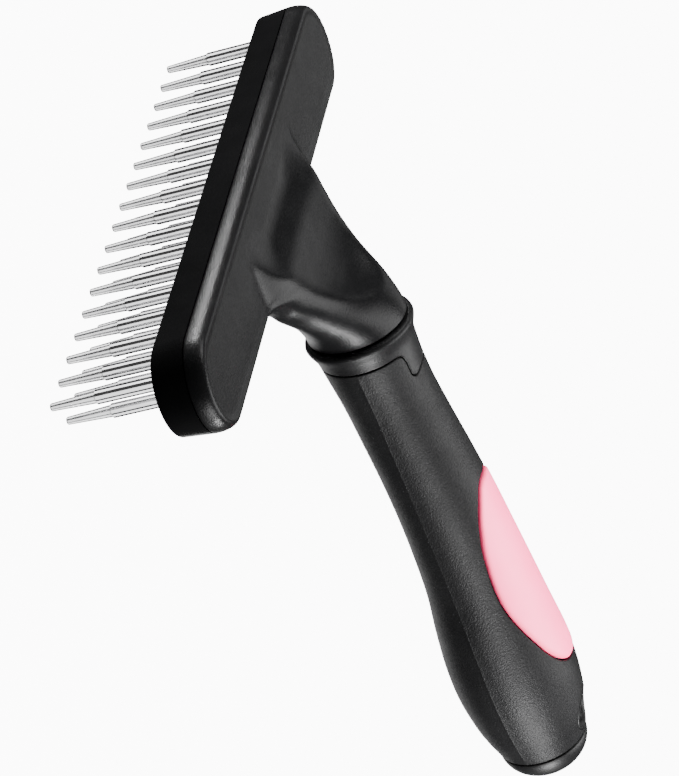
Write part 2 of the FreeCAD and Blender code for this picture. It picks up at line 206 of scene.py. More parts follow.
# Teeth: a shank that steps down at STEP_Z to a tapered tip, with a flange inside the housing.
SHANK_RADIUS = 1.45
TIP_ROOT_RADIUS = 1.18
TIP_END_RADIUS = 0.78
STEP_Z = -20.1
SHANK_TOP_Z = -4.2
FLANGE_HEIGHT = 0.9


# ---- helpers ------------------------------------------------------------------------
def curve(table):
    """A smooth curve through a table: rows of (key, value, ...) give f(key) = values."""
    rows = np.array(table, float)
    keys = rows[:, 0]
    values = rows[:, 1:]
    slopes = np.gradient(values, keys, axis=0)

    def evaluate(key):
        key = np.clip(np.asarray(key, float), keys[0], keys[-1])
        index = np.clip(np.searchsorted(keys, key) - 1, 0, len(keys) - 2)
        width = (keys[index + 1] - keys[index])[..., None]
        t = (key - keys[index])[..., None] / width
        rest = 1 - t
        ends = values[index] * (1 + 2 * t) * rest ** 2 + values[index + 1] * t ** 2 * (1 + 2 * rest)
        return ends + (slopes[index] * t * rest ** 2 - slopes[index + 1] * t ** 2 * rest) * width
    return evaluate


handle_at = curve(HANDLE)
neck_at = curve(NECK)
dish_at = curve(DISH)


def add_piece(name, points, faces, slot, material, sharp, nodes, body="rake_body"):
    """A mesh piece from points in millimetres about the head's middle, which replaces nodes
    of the frame. Edges sharper than sharp degrees stay crisp."""
    mesh = bpy.data.meshes.new(name)
    places = np.asarray(points, float) * MM + np.array(HEAD)
    mesh.from_pydata(places.tolist(), [], [[int(v) for v in face] for face in faces])
    mesh.validate()
    mesh.update()
    piece = bpy.data.objects.new(name, mesh)
    mesh.polygons.foreach_set("use_smooth", [True] * len(mesh.polygons))
    mesh.set_sharp_from_angle(angle=math.radians(sharp))
    mesh.materials.append(material)
    bpy.context.scene.collection.objects.link(piece)
    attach(piece, body)
    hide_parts(*nodes)
    return piece


def lathe(profile, centre=(0, 0, 0), along_handle=False, segments=96):
    """Points and faces of a (radius, height) profile turned about an upright axis, or,
    with along_handle, about a lengthwise one, where height is distance."""
    points = []
    rings = []
    angles = np.linspace(0, 2 * math.pi, segments, endpoint=False)
    for radius, height in profile:
        count = 1 if radius < 1e-6 else segments
        rings.append(np.arange(len(points), len(points) + count))
        turn = angles[:count]
        points.extend(np.stack([radius * np.cos(turn), radius * np.sin(turn),
                                np.full(count, height)], 1))
    points = np.array(points)
    faces = []
    for low, high in zip(rings, rings[1:]):
        for k in range(segments):
            n = (k + 1) % segments
            corners = [low[k % len(low)], low[n % len(low)],
                       high[n % len(high)], high[k % len(high)]]
            faces.append(list(dict.fromkeys(corners)))
    if along_handle:
        points = np.stack([points[:, 0], -points[:, 2], points[:, 1]], 1)
    return points + np.array(centre), faces


def soften(corners, steps=5, longest=0.49):
    """A (radius, height) profile from corners, the inner ones with a third number that says
    how far their rounding reaches."""
    out = [corners[0]]
    for a, b, c in zip(corners, corners[1:], corners[2:]):
        reach = b[2]
        a, b, c = (np.array(corner[:2], float) for corner in (a, b, c))
        before, after = np.linalg.norm(a - b), np.linalg.norm(c - b)
        reach = min(reach, before * longest, after * longest)
        start = b + (a - b) / before * reach
        end = b + (c - b) / after * reach
        for t in np.linspace(0, 1, steps + 1):
            out.append(tuple(start * (1 - t) ** 2 + 2 * b * t * (1 - t) + end * t * t))
    out.append(corners[-1])
    return out


# ---- implicit surfaces ----------------------------------------------------------------
# A field is negative inside and gives roughly the distance to its surface.
SLABS = 24
PULL_ROUNDS = 6
PULL_LIMIT = 0.3
FLATTEST_SLOPE = 0.05
FLATTEST_SECTION = 0.04
FAR_OUTSIDE = 50.0


def smooth_max(a, b, k):
    """The larger of two fields, blended over k where they are about equal."""
    h = np.clip(0.5 + 0.5 * (a - b) / k, 0, 1)
    return b + (a - b) * h + k * h * (1 - h)


def smooth_min(a, b, k):
    return -smooth_max(-a, -b, k)


def slope_of(field, p, h=0.02):
    parts = []
    for axis in range(3):
        step = np.zeros(3)
        step[axis] = h
        parts.append((field(p + step) - field(p - step)) / (2 * h))
    return np.stack(parts, -1)


def surface_net(field, low, high, step):
    """Points and quads of the surface field = 0 inside a box, moved exactly onto it."""
    axes = [np.arange(a, b + step, step) for a, b in zip(low, high)]
    grid = np.stack(np.meshgrid(*axes, indexing="ij"), -1)
    value = np.concatenate([field(slab) for slab in np.array_split(grid, SLABS, axis=0)])
    inside = value < 0
    shape = tuple(n - 1 for n in value.shape)
    corners = [(i, j, k) for i in (0, 1) for j in (0, 1) for k in (0, 1)]
    count = sum(inside[i:i + shape[0], j:j + shape[1], k:k + shape[2]].astype(int)
                for i, j, k in corners)
    mixed = (count > 0) & (count < 8)
    number = np.full(shape, -1)
    cells = np.argwhere(mixed)
    number[mixed] = np.arange(len(cells))
    total = np.zeros((len(cells), 3))
    hits = np.zeros(len(cells))
    for a in corners:
        for axis in range(3):
            if a[axis]:
                continue
            b = tuple(v + (n == axis) for n, v in enumerate(a))
            ia = tuple((cells + a).T)
            ib = tuple((cells + b).T)
            cross = inside[ia] != inside[ib]
            gap = np.where(cross, value[ia] - value[ib], 1.0)
            place = grid[ia] + (grid[ib] - grid[ia]) * (value[ia] / gap)[:, None]
            total += np.where(cross[:, None], place, 0)
            hits += cross
    points = total / hits[:, None]
    faces = []
    for axis in range(3):
        u, v = [n for n in range(3) if n != axis]
        near = [slice(None)] * 3
        far = [slice(None)] * 3
        near[axis] = slice(0, -1)
        far[axis] = slice(1, None)
        edges = np.argwhere(inside[tuple(near)] != inside[tuple(far)])
        across, along = edges[:, u], edges[:, v]
        edges = edges[(across > 0) & (along > 0) & (across < shape[u]) & (along < shape[v])]
        around = []
        for du, dv in ((1, 1), (0, 1), (0, 0), (1, 0)):
            cell = edges.copy()
            cell[:, u] -= du
            cell[:, v] -= dv
            around.append(number[tuple(cell.T)])
        quads = np.stack(around, 1)
        flip = inside[tuple(edges.T)] != (axis != 1)
        quads[flip] = quads[flip][:, ::-1]
        faces.append(quads)
    for _ in range(PULL_ROUNDS):
        slope = slope_of(field, points)
        size = np.maximum((slope ** 2).sum(1), FLATTEST_SLOPE)
        pull = np.clip(field(points) / size, -PULL_LIMIT, PULL_LIMIT)
        points = points - pull[:, None] * slope
    return points, np.concatenate(faces)


def rim_loop(faces, wanted):
    """The open rim of a mesh as vertex numbers in order, for rim edges whose ends are wanted."""
    seen = set()
    for face in faces:
        for a, b in zip(face, face[1:] + face[:1]):
            seen.add((a, b))
    ahead = {b: a for a, b in seen if (b, a) not in seen and wanted[a] and wanted[b]}
    start = next(iter(ahead))
    loop = [start]
    while ahead[loop[-1]] != start:
        loop.append(ahead[loop[-1]])
    return loop


def cut_level(points, faces, level, allowed):
    """Cuts the faces that allowed picks at level = 0 and keeps the side where it is positive.
    Returns points, faces and levels."""
    points = [tuple(p) for p in points]
    level = list(level)
    made = {}
    out = []

    def crossing(a, b):
        key = (min(a, b), max(a, b))
        if key not in made:
            t = level[a] / (level[a] - level[b])
            made[key] = len(points)
            points.append(tuple(np.add(points[a], np.subtract(points[b], points[a]) * t)))
            level.append(0.0)
        return made[key]

    for face, use in zip(faces, allowed):
        if not use or all(level[v] >= 0 for v in face):
            out.append([int(v) for v in face])
            continue
        kept = []
        for a, b in zip(face, np.roll(face, -1)):
            if level[a] >= 0:
                kept.append(int(a))
            if (level[a] >= 0) != (level[b] >= 0) and level[a] != 0 and level[b] != 0:
                kept.append(crossing(int(a), int(b)))
        if len(kept) > 2:
            out.append(kept)
    return np.array(points), out, np.array(level)


# ---- sheets on the handle's skin ------------------------------------------------------
# A sheet is laid out flat in (s, distance), where s is the way round from the top, in mm.
PAIRS_AT_ONCE = 2000000
NET_ROW = 0.866
NET_CLEARANCE = 0.55
ROW_CLEARANCE = 0.97
CREASE_CLEARANCE = 1.2
SAME_POINT = 1e-7


def radius_at(distance):
    return handle_at(distance)[..., 1]


def on_skin(flat, lift):
    """Flat places brought onto the handle, lift above its skin."""
    middle, radius = np.moveaxis(handle_at(flat[:, 1]), -1, 0)
    theta = flat[:, 0] / radius
    reach = radius + lift
    return np.stack([reach * np.sin(theta), -flat[:, 1], middle + reach * np.cos(theta)], 1)


def from_above(plan):
    """Flat places of points given as (across, distance) on the handle's top."""
    plan = np.asarray(plan, float)
    radius = radius_at(plan[:, 1])
    return np.stack([radius * np.arcsin(plan[:, 0] / radius), plan[:, 1]], 1)


def mould_line_angle(distance):
    """How far round from the top the moulds met, in radians."""
    middle, radius = np.moveaxis(handle_at(distance), -1, 0)
    return np.arccos(np.clip((MOULD_LINE_Z - middle) / radius, -1, 1))


def even_out(points, spacing):
    """Points spaced evenly along a smooth curve through the given ones."""
    rows = np.array(points, float)
    length = np.r_[0, np.cumsum(np.linalg.norm(np.diff(rows, axis=0), axis=1))]
    path = curve(np.c_[length, rows])
    return path(np.linspace(0, length[-1], max(3, round(length[-1] / spacing) + 1)))


def mirrored(half):
    """A closed outline from its right half, given from one end of the middle line to the other."""
    return np.vstack([half, half[-2:0:-1] * [-1, 1]])


def in_outline(points, outline):
    x, y = points[:, 0], points[:, 1]
    inside = np.zeros(len(points), bool)
    for (x0, y0), (x1, y1) in zip(outline, np.roll(outline, -1, axis=0)):
        if y0 != y1:
            inside ^= ((y0 > y) != (y1 > y)) & (x < (x1 - x0) * (y - y0) / (y1 - y0) + x0)
    return inside


def gap_to_lines(points, lines):
    """Distance from each point to the nearest of some open lines."""
    best = np.full(len(points), np.inf)
    for line in lines:
        a = line[:-1]
        run = line[1:] - a
        size = np.maximum((run ** 2).sum(1), 1e-12)
        parts = max(1, len(points) * len(a) // PAIRS_AT_ONCE)
        for part in np.array_split(np.arange(len(points)), parts):
            away = points[part, None] - a[None]
            t = np.clip((away * run).sum(-1) / size, 0, 1)
            off = away - run * t[..., None]
            best[part] = np.minimum(best[part], np.sqrt((off ** 2).sum(-1)).min(1))
    return best


def beside(line, reach):
    """A line moved sideways by reach."""
    ahead = np.gradient(line, axis=0)
    ahead /= np.maximum(np.linalg.norm(ahead, axis=1), 1e-9)[:, None]
    return line + np.stack([-ahead[:, 1], ahead[:, 0]], 1) * reach


def closed(line):
    return np.vstack([line, line[:1]])


def lay_out(outline, holes, rolled, creases, edge_rows, spacing):
    """Triangles over a flat outline with holes. Rows of points run beside the rolled edges
    and the creases, and a loose net fills the rest."""
    loops = [outline] + holes

    def within(points):
        good = in_outline(points, outline)
        for hole in holes:
            good &= ~in_outline(points, hole)
        return good

    rows = []

    def add_row(line, side, clearance):
        near = beside(line, side)
        near = near[within(near)]
        if len(near):
            rows.append(near[gap_to_lines(near, rolled) > clearance])

    for reach in edge_rows:
        for line in rolled:
            for side in (reach, -reach):
                add_row(line, side, ROW_CLEARANCE * reach)
    for line in creases:
        for side in CREASE_ROWS:
            add_row(line, side, edge_rows[-1] * CREASE_CLEARANCE)
    rows = np.vstack(rows)
    border = np.vstack(loops)
    low = border.min(axis=0)
    high = border.max(axis=0)
    net = []
    for k, d in enumerate(np.arange(low[1], high[1], spacing * NET_ROW)):
        across = np.arange(low[0] + spacing / 2 * (k % 2), high[0], spacing)
        net.append(np.stack([across, np.full(len(across), d)], 1))
    net = np.vstack(net)
    net = net[within(net)]
    tree = KDTree(len(border) + len(rows))
    for k, (s, d) in enumerate(np.vstack([border, rows])):
        tree.insert((s, d, 0), k)
    tree.balance()
    net = np.array([p for p in net if tree.find((*p, 0))[2] > spacing * NET_CLEARANCE])
    edges = []
    start = 0
    for loop in loops:
        edges.extend((start + k, start + (k + 1) % len(loop)) for k in range(len(loop)))
        start += len(loop)
    places = [Vector(p) for p in np.vstack([border, rows, net])]
    made = delaunay_2d_cdt(places, edges, [], 0, SAME_POINT)
    flat = np.array([tuple(p) for p in made[0]])
    faces = np.array([face for face in made[2] if len(face) == 3])
    return flat, faces[within(flat[faces].mean(axis=1))]


def sheet(name, layout, rolled, roll, proud=0.0, extra=None, **place):
    """A closed sheet on the handle's skin, its edges rolled down into the seams beside it."""
    flat, faces = layout
    gap = gap_to_lines(flat, rolled)
    rise = np.full(len(flat), float(proud))
    near = gap < roll
    rise[near] -= roll - np.sqrt(np.maximum(roll ** 2 - (roll - gap[near]) ** 2, 0))
    if extra:
        rise = rise + extra(flat)
    top = on_skin(flat, rise)
    bottom = on_skin(flat, np.full(len(flat), -SHEET_DEPTH))
    # Points that meet where a sheet closes round the handle are welded.
    keys = np.unique(np.round(bottom, 3), axis=0, return_inverse=True)[1].reshape(-1)
    first = np.full(keys.max() + 1, -1)
    for k in range(len(keys) - 1, -1, -1):
        first[keys[k]] = k
    weld = first[keys]
    used = np.unique(weld)
    number = np.full(len(flat), -1)
    number[used] = np.arange(len(used))
    faces = number[weld[faces]]
    a, b, c = faces.T
    faces = faces[(a != b) & (b != c) & (a != c)]
    a, b, c = (top[used][faces[:, k]] for k in range(3))
    outward = np.cross(b - a, c - a)
    centre = np.stack([np.zeros(len(a)), a[:, 1], handle_at(-a[:, 1])[:, 0]], 1)
    if (outward * (a - centre)).sum() < 0:
        faces = faces[:, ::-1]
    count = len(used)
    edges = {(x, y) for face in faces.tolist() for x, y in zip(face, face[1:] + face[:1])}
    walls = [[y, x, x + count, y + count] for x, y in edges if (y, x) not in edges]
    everything = faces.tolist() + (faces[:, ::-1] + count).tolist() + sorted(walls)
    piece = add_piece(name, np.vstack([top[used], bottom[used]]), everything, sharp=60, **place)
    # The distance from the rolled edges, which the pink's painted edge shade reads.
    rim = piece.data.attributes.new("rim", "FLOAT", "POINT")
    rim.data.foreach_set("value", np.r_[gap[used], gap[used]])


# ---- materials ------------------------------------------------------------------------
def node_material(name, base, rough, metallic=0.0):
    """A material with its tree, its shader and the place on the object that textures use."""
    material = bpy.data.materials.new(name)
    material.use_nodes = True
    tree = material.node_tree
    shader = tree.nodes["Principled BSDF"]
    shader.inputs["Base Color"].default_value = (*base, 1)
    shader.inputs["Roughness"].default_value = rough
    shader.inputs["Metallic"].default_value = metallic
    place = tree.nodes.new("ShaderNodeTexCoord").outputs["Object"]
    return material, tree, shader, place


def noise(tree, place, scale, detail=3.0, rough=0.55, stretch=None):
    if stretch:
        mapping = tree.nodes.new("ShaderNodeMapping")
        mapping.inputs["Scale"].default_value = stretch
        tree.links.new(place, mapping.inputs["Vector"])
        place = mapping.outputs["Vector"]
    texture = tree.nodes.new("ShaderNodeTexNoise")
    texture.inputs["Scale"].default_value = scale
    texture.inputs["Detail"].default_value = detail
    texture.inputs["Roughness"].default_value = rough
    tree.links.new(place, texture.inputs["Vector"])
    return texture.outputs["Fac"]


# A noise texture's value mostly lies between these.
NOISE_LOW = 0.3
NOISE_HIGH = 0.7


def spread(tree, value, low, high, start=NOISE_LOW, end=NOISE_HIGH):
    """Turns a texture's value into a number between low and high."""
    node = tree.nodes.new("ShaderNodeMapRange")
    node.inputs["From Min"].default_value = start
    node.inputs["From Max"].default_value = end
    node.inputs["To Min"].default_value = low
    node.inputs["To Max"].default_value = high
    tree.links.new(value, node.inputs["Value"])
    return node.outputs["Result"]


def tint(tree, value, dark, light):
    """Turns a texture's value into a colour between dark and light."""
    node = tree.nodes.new("ShaderNodeValToRGB")
    low, high = node.color_ramp.elements
    low.position, low.color = NOISE_LOW, (*dark, 1)
    high.position, high.color = NOISE_HIGH, (*light, 1)
    tree.links.new(value, node.inputs["Fac"])
    return node.outputs["Color"]


def bump(tree, shader, value, strength, depth):
    """Adds a bump on top of those the shader already has."""
    node = tree.nodes.new("ShaderNodeBump")
    node.inputs["Strength"].default_value = strength
    node.inputs["Distance"].default_value = depth
    tree.links.new(value, node.inputs["Height"])
    if shader.inputs["Normal"].links:
        tree.links.new(shader.inputs["Normal"].links[0].from_socket, node.inputs["Normal"])
    tree.links.new(node.outputs["Normal"], shader.inputs["Normal"])


def moulded(name, dark, light, rough, grain_scale, grain, specular):
    """Moulded plastic or rubber: spark-eroded grain, cloudy gloss and faint handling marks."""
    material, tree, shader, place = node_material(name, light, rough[0])
    shader.inputs["Specular IOR Level"].default_value = specular
    cloud = noise(tree, place, 55.0, 4.0, 0.6)
    gloss = noise(tree, place, 140.0, 5.0, 0.65)
    tree.links.new(tint(tree, cloud, dark, light), shader.inputs["Base Color"])
    tree.links.new(spread(tree, gloss, *rough), shader.inputs["Roughness"])
    bump(tree, shader, noise(tree, place, 260.0, 3.0, 0.5, (1.0, 0.5, 1.0)), 0.10, 0.0003)
    bump(tree, shader, noise(tree, place, grain_scale, 2.0, 0.6), grain, 0.00012)
    return material


def steel(name, base, rough, streaks, grain):
    """Steel with fine lines along or round it and a faint haze."""
    material, tree, shader, place = node_material(name, base, rough[0], 1.0)
    haze = noise(tree, place, 300.0, 4.0, 0.6)
    gloss = noise(tree, place, 500.0, 4.0, 0.7, streaks)
    tree.links.new(tint(tree, haze, [0.82 * c for c in base], base), shader.inputs["Base Color"])
    tree.links.new(spread(tree, gloss, *rough), shader.inputs["Roughness"])
    bump(tree, shader, noise(tree, place, 900.0, 3.0, 0.6, streaks), grain, 0.00005)
    return material


def mix_in(material, socket, factor, value, kind="FLOAT"):
    """Fades what feeds one of a material's sockets to value where factor falls to 0."""
    tree = material.node_tree
    target = tree.nodes["Principled BSDF"].inputs[socket]
    mix = tree.nodes.new("ShaderNodeMix")
    mix.data_type = kind
    mix.inputs["A"].default_value = value
    tree.links.new(factor, mix.inputs["Factor"])
    tree.links.new(target.links[0].from_socket, mix.inputs["B"])
    tree.links.new(mix.outputs["Result"], target)


def satin_below(material, height, rough, fade=0.0002):
    """Leaves a polished metal satin below a height in metres."""
    tree = material.node_tree
    place = tree.nodes.new("ShaderNodeTexCoord")
    split = tree.nodes.new("ShaderNodeSeparateXYZ")
    tree.links.new(place.outputs["Object"], split.inputs["Vector"])
    factor = spread(tree, split.outputs["Z"], 0.0, 1.0, height - fade, height + fade)
    mix_in(material, "Roughness", factor, rough)


def painted_edge_shade(material, shade_colour, start, end):
    """Painted shade: darkens a material's colour towards a sheet's rolled edge, where it dips into
    the seam; start and end are in mm from it.
    """
    tree = material.node_tree
    rim = tree.nodes.new("ShaderNodeAttribute")
    rim.attribute_name = "rim"
    factor = spread(tree, rim.outputs["Fac"], 0.0, 1.0, start, end)
    mix_in(material, "Base Color", factor, (*shade_colour, 1), "RGBA")


# Plastics: darker and lighter colour, least and most roughness, scale and strength of the
# grain, specular level.
black_plastic = moulded("black_plastic", (0.005, 0.005, 0.0055), (0.009, 0.009, 0.0095),
                        (0.28, 0.36), 3200.0, 0.45, 0.15)
collar_plastic = moulded("collar_plastic", (0.007, 0.007, 0.0075), (0.011, 0.011, 0.0115),
                         (0.36, 0.46), 3000.0, 0.6, 0.2)
grip_rubber = moulded("grip_rubber", (0.007, 0.007, 0.0075), (0.011, 0.011, 0.0115),
                      (0.42, 0.52), 2600.0, 1.0, 0.2)
ring_plastic = moulded("ring_plastic", (0.006, 0.006, 0.0065), (0.010, 0.010, 0.0105),
                       (0.38, 0.48), 3000.0, 0.4, 0.25)
housing_plastic = moulded("housing_plastic", (0.0032, 0.0032, 0.0034), (0.0052, 0.0052, 0.0055),
                          (0.22, 0.28), 3000.0, 0.2, 0.07)
inner_plastic = moulded("inner_plastic", (0.005, 0.005, 0.0055), (0.010, 0.010, 0.011),
                        (0.50, 0.62), 2400.0, 0.3, 0.3)
pink_rubber = moulded("pink_rubber", (1.0, 0.10, 0.26), (1.0, 0.13, 0.30),
                      (0.42, 0.52), 2600.0, 0.10, 0.25)
# Painted shade: the pink darkens towards the pad's rolled edge.
painted_edge_shade(pink_rubber, (0.90, 0.06, 0.17), 0.2, 1.2)
# Metals: colour, least and most roughness, how far the lines are stretched, their strength.
tooth_steel = steel("tooth_steel", (0.88, 0.88, 0.89), (0.09, 0.15), (1.0, 1.0, 0.15), 0.03)
satin_below(tooth_steel, HEAD.z + STEP_Z * MM, 0.25)
screw_steel = steel("screw_steel", (0.52, 0.52, 0.53), (0.30, 0.45), (1.0, 1.0, 1.0), 0.3)


# ---- head cover and neck --------------------------------------------------------------
def ramp(value, start, end):
    """Rises smoothly from 0 at start to 1 at end."""
    t = np.clip((value - start) / (end - start), 0, 1)
    return t * t * (3 - 2 * t)


def cover_field(p):
    """The cover: straight side, rounded rim up to the crest, and a plateau inside it."""
    along = np.maximum(np.abs(p[..., 0]) - (HALF_LENGTH - HALF_WIDTH), 0)
    r = np.hypot(along, p[..., 1])
    z = p[..., 2]
    edge = HALF_WIDTH - CREST_INSET
    tall = CREST_Z - SHOULDER_START
    u = np.maximum(r - edge, 0) / CREST_INSET
    w = np.maximum(z - SHOULDER_START, 0) / tall
    size = np.hypot(u, w)
    steep = np.hypot(u / CREST_INSET, w / tall) / np.maximum(size, 1e-6)
    bullnose = (size - 1) / np.maximum(steep, 1e-6)
    top = PLATEAU_Z + (CREST_Z - PLATEAU_Z) * ramp(r, HALF_WIDTH - PLATEAU_INSET, edge)
    side = np.maximum(r - HALF_WIDTH, z - top)
    return np.where(z < SHOULDER_START, side, np.where(r < edge, z - top, bullnose))


def neck_section(p):
    half, middle, below, above, power = np.moveaxis(neck_at(-p[..., 1]), -1, 0)
    z = p[..., 2] - middle
    u = np.abs(p[..., 0]) / half
    w = np.abs(z) / np.where(z > 0, above, below)
    squarer = UNDERSIDE_SQUARENESS * (1 - ramp(-p[..., 1], *UNDERSIDE_FADE))
    power = power + np.where(z > 0, 0, squarer)
    return (np.maximum(u, 1e-6) ** power + np.maximum(w, 1e-6) ** power) ** (1 / power) - 1


def dish_section(p):
    floor, rise = np.moveaxis(dish_at(-p[..., 1]), -1, 0)
    return p[..., 2] - floor - rise * p[..., 0] ** 2


def neck_field(p):
    """The neck: its rounded section, less what is above the dish and in front of the riser."""
    steep = np.linalg.norm(slope_of(neck_section, p), axis=-1)
    body = neck_section(p) / np.maximum(steep, FLATTEST_SECTION)
    dish = dish_section(p) / np.linalg.norm(slope_of(dish_section, p), axis=-1)
    bow = RISER_BOW * np.minimum(np.abs(p[..., 0]) / RISER_BOW_HALF, RISER_BOW_CAP) ** 8
    tilt = math.radians(RISER_TILT)
    ahead = p[..., 1] + RISER_DISTANCE + bow
    riser = ahead * math.cos(tilt) + (p[..., 2] - PLATEAU_Z) * math.sin(tilt)
    return smooth_max(smooth_max(body, dish, DISH_EDGE), riser, RISER_EDGE)


def head_field(p):
    """Cover and neck in one, the neck worked out only where it can matter."""
    cover = cover_field(p)
    neck = np.full(cover.shape, FAR_OUTSIDE)
    near = (p[..., 1] < NECK_FRONT_Y) & (np.abs(p[..., 0]) < NECK_SIDE_X)
    if near.any():
        neck[near] = neck_field(p[near])
    flare = ROOT_FILLET + ROOT_FLARE * ramp(np.abs(p[..., 0]), *ROOT_FLARE_ACROSS)
    return smooth_min(cover, neck, SEAT_FILLET + flare * ramp(p[..., 2], *ROOT_FLARE_HEIGHT))


def stadium_point(points, reach):
    """Points moved square to the head's outline until they are reach from its middle line."""
    spine = np.clip(points[:, 0], HALF_WIDTH - HALF_LENGTH, HALF_LENGTH - HALF_WIDTH)
    away = np.stack([points[:, 0] - spine, points[:, 1]], 1)
    away *= (reach / np.linalg.norm(away, axis=1))[:, None]
    return np.stack([spine + away[:, 0], away[:, 1]], 1)


def extend_rim(points, faces, loop, rows):
    """Adds rows of points, as long as the loop, to an open rim and closes the last one."""
    points = list(map(tuple, points))
    last = loop
    for row in rows:
        fresh = list(range(len(points), len(points) + len(row)))
        points.extend(map(tuple, row))
        for k in range(len(loop)):
            n = (k + 1) % len(loop)
            faces.append([last[k], last[n], fresh[n], fresh[k]])
        last = fresh
    faces.append(last)
    return np.array(points), faces


def make_head_cover():
    low = (-HALF_LENGTH - COVER_MARGIN, -33.0, -1.3)
    high = (HALF_LENGTH + COVER_MARGIN, HALF_WIDTH + COVER_MARGIN, 22.5)
    points, faces = surface_net(head_field, low, high, COVER_CELL)

    # The head is cut level just above the parting gap and closed by a lip.
    cut_z = PARTING_GAP + PARTING_ROLL
    centres = points[faces].mean(axis=1)
    level = points[:, 2] - cut_z
    points, faces, level = cut_level(points, faces, level, centres[:, 1] > HEAD_REAR_Y)
    loop = rim_loop(faces, np.abs(level) < 1e-6)
    rim = points[loop]
    rows = []
    for inset, z in ((0.035, PARTING_GAP + 0.035), (PARTING_ROLL, PARTING_GAP),
                     (LIP_INSET, PARTING_GAP), (LIP_INSET, 0.01)):
        row = stadium_point(rim, HALF_WIDTH - inset)
        rows.append(np.c_[row, np.full(len(row), z)])
    points, faces = extend_rim(points, faces, loop, rows)

    # The neck is cut square to the handle, with a rolled edge and a shallow socket inside it.
    centres = np.array([points[face].mean(axis=0) for face in faces])
    level = points[:, 1] + NECK_END - NECK_ROLL
    points, faces, level = cut_level(points, faces, level, centres[:, 1] < NECK_REAR_Y)
    loop = rim_loop(faces, (np.abs(level) < 1e-6) & (points[:, 1] < NECK_REAR_Y))
    rim = points[loop]
    rows = []
    for inset, back in ((0.07, 0.07), (NECK_ROLL, 0.0), (NECK_WALL, 0.0), (NECK_WALL, -1.3)):
        away = rim[:, [0, 2]] - [0, NECK_END_Z]
        size = np.linalg.norm(away, axis=1)[:, None]
        away = away / size * (size - inset)
        rows.append(np.stack([away[:, 0], np.full(len(away), -NECK_END + back),
                              away[:, 1] + NECK_END_Z], 1))
    points, faces = extend_rim(points, faces, loop, rows)
    add_piece("head_cover_shell", points, faces, "black_plastic", black_plastic, 50,
              ["head_cover"])


# ---- handle ---------------------------------------------------------------------------
def tab_line(grow):
    """The seam between collar and grip over the handle's top, from one side to the other."""
    half = even_out(TAB, EDGE_SPACING)
    away = beside(half, 1.0) - half
    if away[len(half) // 3, 0] < 0:
        away = -away
    half = half + away * grow
    half[0, 0] = 0
    half[-1, 1] = COLLAR_END + grow
    return from_above(np.vstack([half[:0:-1] * [-1, 1], half]))


def seam_round(distance, start, end):
    """A line round the handle at one distance, from the way-round place start to end."""
    count = max(2, round(abs(end - start) / EDGE_SPACING))
    return np.stack([np.linspace(start, end, count + 1), np.full(count + 1, distance)], 1)


def make_grip():
    # The grip's sheet closes at the right mould line: laid out flat, it reaches from there
    # over the top and underneath, back to the same line.
    front = tab_line(SEAM_GAP / 2)
    front_d = front[-1, 1]
    back_d = CAP_SEAM - SEAM_GAP / 2
    inner = np.arange(front_d, back_d, EDGE_SPACING)[1:]
    right = np.stack([mould_line_angle(inner) * radius_at(inner), inner], 1)
    left = np.stack([(mould_line_angle(inner) - 2 * math.pi) * radius_at(inner), inner], 1)
    corner = [mould_line_angle(d) * radius_at(d) for d in (front_d, back_d)]
    turn = [2 * math.pi * radius_at(d) for d in (front_d, back_d)]
    ahead = np.vstack([seam_round(front_d, corner[0] - turn[0], front[0, 0])[:-1], front,
                       seam_round(front_d, front[-1, 0], corner[0])[1:]])
    behind = seam_round(back_d, corner[1], corner[1] - turn[1])
    outline = np.vstack([ahead, right, behind, left[::-1]])

    inlay_hole = from_above(mirrored(even_out(INLAY, EDGE_SPACING)))
    centre = inlay_hole.mean(axis=0)
    inlay_hole = centre + (inlay_hole - centre) * (1 + SEAM_GAP / INLAY_REACH)
    angles = np.linspace(0, 2 * math.pi, HANG_SEGMENTS, endpoint=False)
    ring = HANG_RING_RADIUS + HANG_RING_GAP
    circle = np.stack([ring * np.sin(angles), HANG_DISTANCE + ring * np.cos(angles)], 1)
    hang_top = from_above(circle)
    hang_bottom = hang_top.copy()
    hang_bottom[:, 0] = -hang_top[:, 0] - math.pi * radius_at(hang_top[:, 1])
    holes = [inlay_hole, hang_top, hang_bottom]
    rolled = [ahead, behind] + [closed(hole) for hole in holes]

    # Creases run along the left mould line and along both borders on the right one.
    spare = np.arange(front_d + 1, back_d - 1, EDGE_SPACING)
    angle, radius = mould_line_angle(spare), radius_at(spare)
    left_line = np.stack([-angle * radius, spare], 1)
    creases = [left_line + np.stack([turned * radius, 0 * spare], 1)
               for turned in (0 * angle, 2 * angle, 2 * angle - 2 * math.pi)]

    def ridge(flat):
        round_top = flat[:, 0] / radius_at(flat[:, 1])
        angle = np.abs(np.mod(round_top + math.pi, 2 * math.pi) - math.pi)
        away = (angle - mould_line_angle(flat[:, 1])) * radius_at(flat[:, 1])
        return MOULD_RIDGE * np.exp(-(away / MOULD_RIDGE_WIDTH) ** 2)

    layout = lay_out(outline, holes, rolled, creases, EDGE_ROWS, GRIP_SPACING)
    sheet("grip_skin", layout, rolled, EDGE_ROLL, extra=ridge, nodes=["grip_sleeve"],
          slot="grip_rubber", material=grip_rubber)


